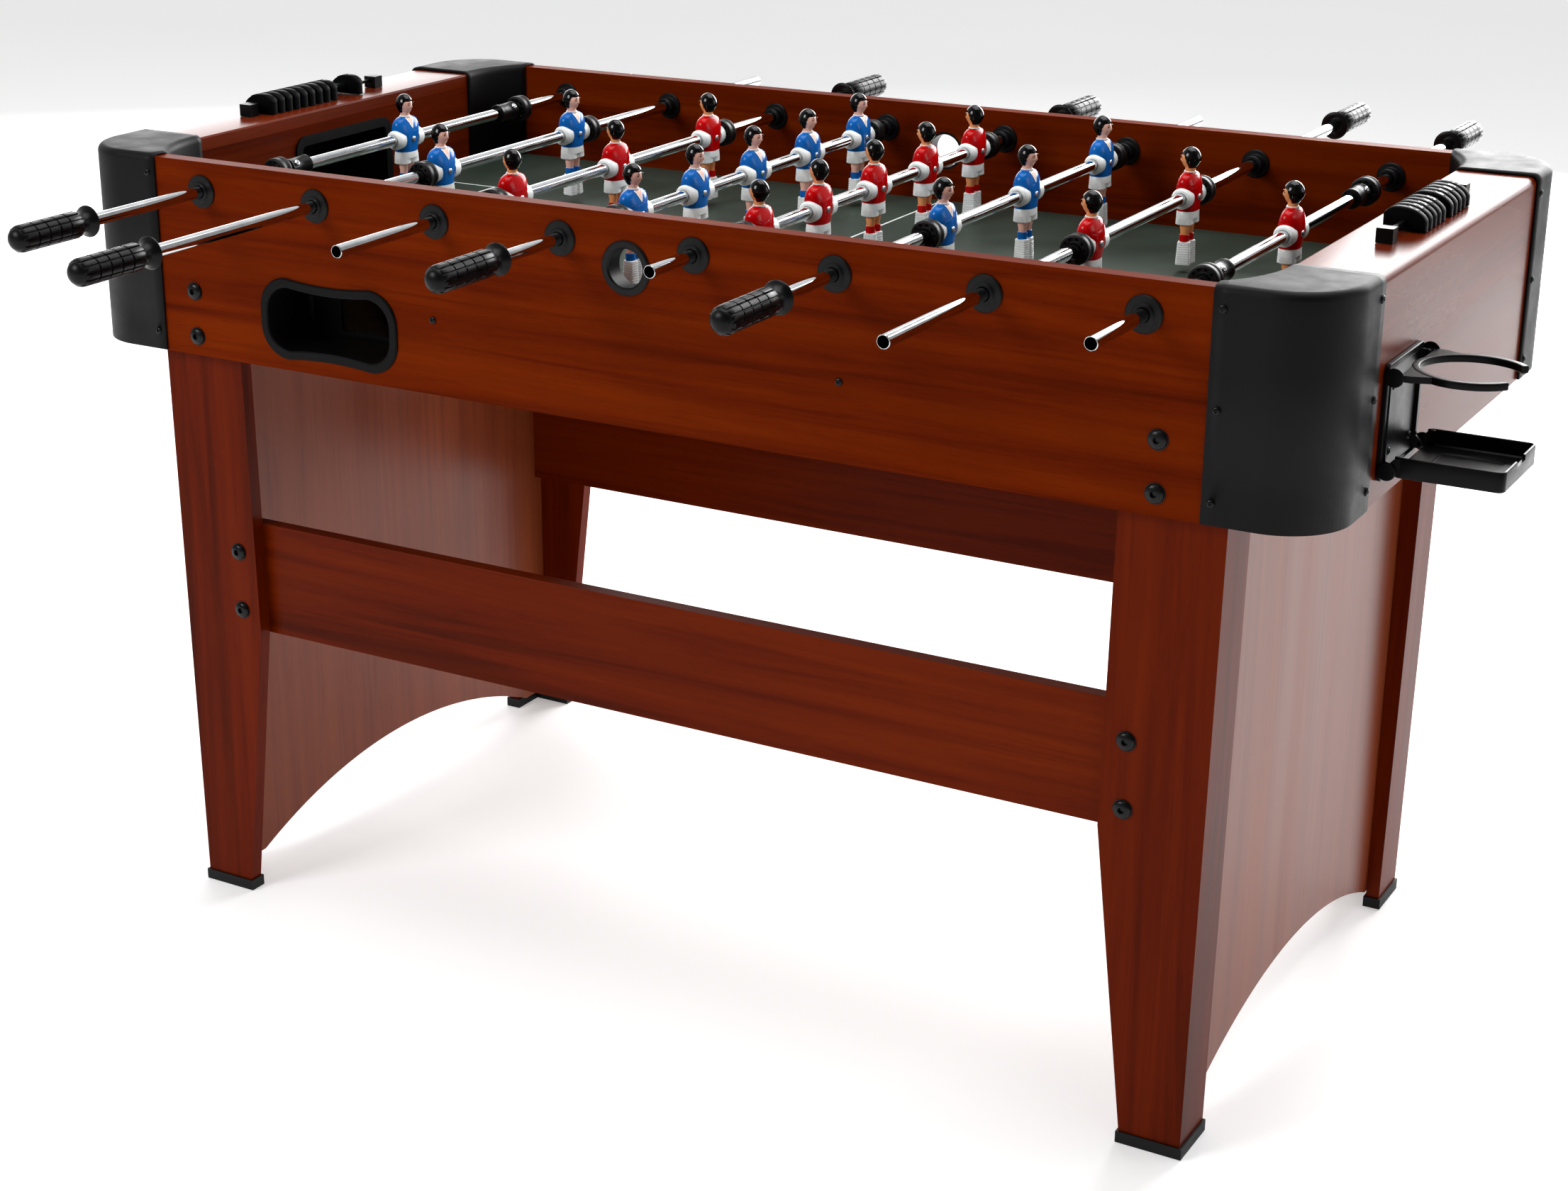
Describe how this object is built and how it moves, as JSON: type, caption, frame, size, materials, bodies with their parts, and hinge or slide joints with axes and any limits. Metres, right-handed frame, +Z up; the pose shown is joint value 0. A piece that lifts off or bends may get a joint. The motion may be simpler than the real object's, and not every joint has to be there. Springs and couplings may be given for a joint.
{
  "type": "foosball table",
  "caption": "Foosball table with wood-look box on board legs, telling rods with men, ribbed handles, goals, ball return cups, score counters and a folding cup holder.",
  "frame": {"origin": "on the floor, below the middle of the whole object's box, which the cup holder on the right end puts a little right of the playing box's middle", "axes": "+X along the table to the right-hand goal, +Y from the front side to the back side, +Z up"},
  "size_m": [1.512, 1.4118, 0.8736],
  "materials": {
    "laminate_side": "red-brown mahogany laminate, semi-gloss, horizontal grain",
    "laminate_leg": "red-brown mahogany laminate, semi-gloss, grain along the board",
    "laminate_end": "red-brown mahogany laminate, glossy, folded over the ledge",
    "green_field": "dark green printed playing surface with white lines",
    "cap_plastic": "black moulded plastic, fine grain",
    "black_plastic": "black moulded plastic, satin",
    "holder_plastic": "black moulded plastic, smooth",
    "counter_plastic": "black moulded counters with white numerals",
    "handle_rubber": "black ribbed rubber",
    "bumper_rubber": "black rubber",
    "foot_rubber": "black rubbery plastic",
    "rod_and_men": "polished chrome tube",
    "shirt_blue": "blue paint on plastic",
    "shirt_red": "red paint on plastic",
    "figure_white": "white plastic",
    "figure_skin": "skin-coloured paint",
    "figure_hair": "black paint",
    "screw_steel": "blackened steel"
  },
  "bodies": {
    "table": {"side_panel_front": "laminate_side", "return_cup_front": "black_plastic", "serving_ring_front": "black_plastic", "stretcher_front": "laminate_leg", "side_panel_back": "laminate_side", "return_cup_back": "black_plastic", "serving_ring_back": "black_plastic", "stretcher_back": "laminate_leg", "end_box_left": "laminate_end", "goal_wall_left": "laminate_side", "goal_liner_left": "black_plastic", "leg_panel_left": "laminate_leg", "score_rail_left": "black_plastic", "end_box_right": "laminate_end", "goal_wall_right": "laminate_side", "goal_liner_right": "black_plastic", "leg_panel_right": "laminate_leg", "score_rail_right": "black_plastic", "corner_cap_front_left": "cap_plastic", "leg_front_left": "laminate_leg", "foot_front_left": "foot_rubber", "corner_cap_front_right": "cap_plastic", "leg_front_right": "laminate_leg", "foot_front_right": "foot_rubber", "corner_cap_back_left": "cap_plastic", "leg_back_left": "laminate_leg", "foot_back_left": "foot_rubber", "corner_cap_back_right": "cap_plastic", "leg_back_right": "laminate_leg", "foot_back_right": "foot_rubber", "playfield": "green_field", "cup_holder_bracket": "holder_plastic"},
    "rod_1_carriage": {"bumper_ring_1": "bumper_rubber"},
    "rod_1_turning": {"rod_1": "rod_and_men", "handle_1": "handle_rubber"},
    "rod_2_carriage": {"bumper_ring_2": "bumper_rubber"},
    "rod_2_turning": {"rod_2": "rod_and_men", "handle_2": "handle_rubber"},
    "rod_3_carriage": {"bumper_ring_3": "bumper_rubber"},
    "rod_3_turning": {"rod_3": "rod_and_men", "handle_3": "handle_rubber"},
    "rod_4_carriage": {"bumper_ring_4": "bumper_rubber"},
    "rod_4_turning": {"rod_4": "rod_and_men", "handle_4": "handle_rubber"},
    "rod_5_carriage": {"bumper_ring_5": "bumper_rubber"},
    "rod_5_turning": {"rod_5": "rod_and_men", "handle_5": "handle_rubber"},
    "rod_6_carriage": {"bumper_ring_6": "bumper_rubber"},
    "rod_6_turning": {"rod_6": "rod_and_men", "handle_6": "handle_rubber"},
    "rod_7_carriage": {"bumper_ring_7": "bumper_rubber"},
    "rod_7_turning": {"rod_7": "rod_and_men", "handle_7": "handle_rubber"},
    "rod_8_carriage": {"bumper_ring_8": "bumper_rubber"},
    "rod_8_turning": {"rod_8": "rod_and_men", "handle_8": "handle_rubber"},
    "counters_left": {"score_counters_left": "counter_plastic"},
    "counters_right": {"score_counters_right": "counter_plastic"},
    "cup_ring": {"cup_holder_ring": "holder_plastic"},
    "cup_tray": {"cup_holder_tray": "holder_plastic"}
  },
  "joints": [
    {"name": "rod_1_slide", "type": "slide", "parent": "table", "child": "rod_1_carriage", "axis": [0, 1, 0], "range_m": [-0.0854, 0.0854]},
    {"name": "rod_1_spin", "type": "hinge", "parent": "rod_1_carriage", "child": "rod_1_turning", "pos_m": [-0.58, -0.0005, 0.82], "axis": [0, 1, 0], "continuous": true},
    {"name": "rod_2_slide", "type": "slide", "parent": "table", "child": "rod_2_carriage", "axis": [0, 1, 0], "range_m": [-0.1464, 0.1624]},
    {"name": "rod_2_spin", "type": "hinge", "parent": "rod_2_carriage", "child": "rod_2_turning", "pos_m": [-0.43, -0.0005, 0.82], "axis": [0, 1, 0], "continuous": true},
    {"name": "rod_3_slide", "type": "slide", "parent": "table", "child": "rod_3_carriage", "axis": [0, 1, 0], "range_m": [-0.0654, 0.1054]},
    {"name": "rod_3_spin", "type": "hinge", "parent": "rod_3_carriage", "child": "rod_3_turning", "pos_m": [-0.28, -0.0005, 0.82], "axis": [0, 1, 0], "continuous": true},
    {"name": "rod_4_slide", "type": "slide", "parent": "table", "child": "rod_4_carriage", "axis": [0, 1, 0], "range_m": [-0.0604, 0.0204]},
    {"name": "rod_4_spin", "type": "hinge", "parent": "rod_4_carriage", "child": "rod_4_turning", "pos_m": [-0.13, -0.0005, 0.82], "axis": [0, 1, 0], "continuous": true},
    {"name": "rod_5_slide", "type": "slide", "parent": "table", "child": "rod_5_carriage", "axis": [0, 1, 0], "range_m": [-0.0524, 0.0284]},
    {"name": "rod_5_spin", "type": "hinge", "parent": "rod_5_carriage", "child": "rod_5_turning", "pos_m": [0.02, -0.0005, 0.82], "axis": [0, 1, 0], "continuous": true},
    {"name": "rod_6_slide", "type": "slide", "parent": "table", "child": "rod_6_carriage", "axis": [0, 1, 0], "range_m": [-0.1504, 0.0204]},
    {"name": "rod_6_spin", "type": "hinge", "parent": "rod_6_carriage", "child": "rod_6_turning", "pos_m": [0.17, -0.0005, 0.82], "axis": [0, 1, 0], "continuous": true},
    {"name": "rod_7_slide", "type": "slide", "parent": "table", "child": "rod_7_carriage", "axis": [0, 1, 0], "range_m": [-0.1634, 0.1454]},
    {"name": "rod_7_spin", "type": "hinge", "parent": "rod_7_carriage", "child": "rod_7_turning", "pos_m": [0.32, -0.0005, 0.82], "axis": [0, 1, 0], "continuous": true},
    {"name": "rod_8_slide", "type": "slide", "parent": "table", "child": "rod_8_carriage", "axis": [0, 1, 0], "range_m": [-0.1054, 0.0654]},
    {"name": "rod_8_spin", "type": "hinge", "parent": "rod_8_carriage", "child": "rod_8_turning", "pos_m": [0.47, -0.0005, 0.82], "axis": [0, 1, 0], "continuous": true},
    {"name": "counters_left_slide", "type": "slide", "parent": "table", "child": "counters_left", "axis": [0, 1, 0], "range_m": [-0.0085, 0.0375]},
    {"name": "counters_right_slide", "type": "slide", "parent": "table", "child": "counters_right", "axis": [0, 1, 0], "range_m": [-0.0435, 0.0255]},
    {"name": "cup_ring_fold", "type": "hinge", "parent": "table", "child": "cup_ring", "pos_m": [0.653, -0.1725, 0.758], "axis": [0, -1, 0], "range_deg": [0, 90]},
    {"name": "cup_tray_fold", "type": "hinge", "parent": "table", "child": "cup_tray", "pos_m": [0.653, -0.1725, 0.673], "axis": [0, -1, 0], "range_deg": [0, 40]}
  ]
}
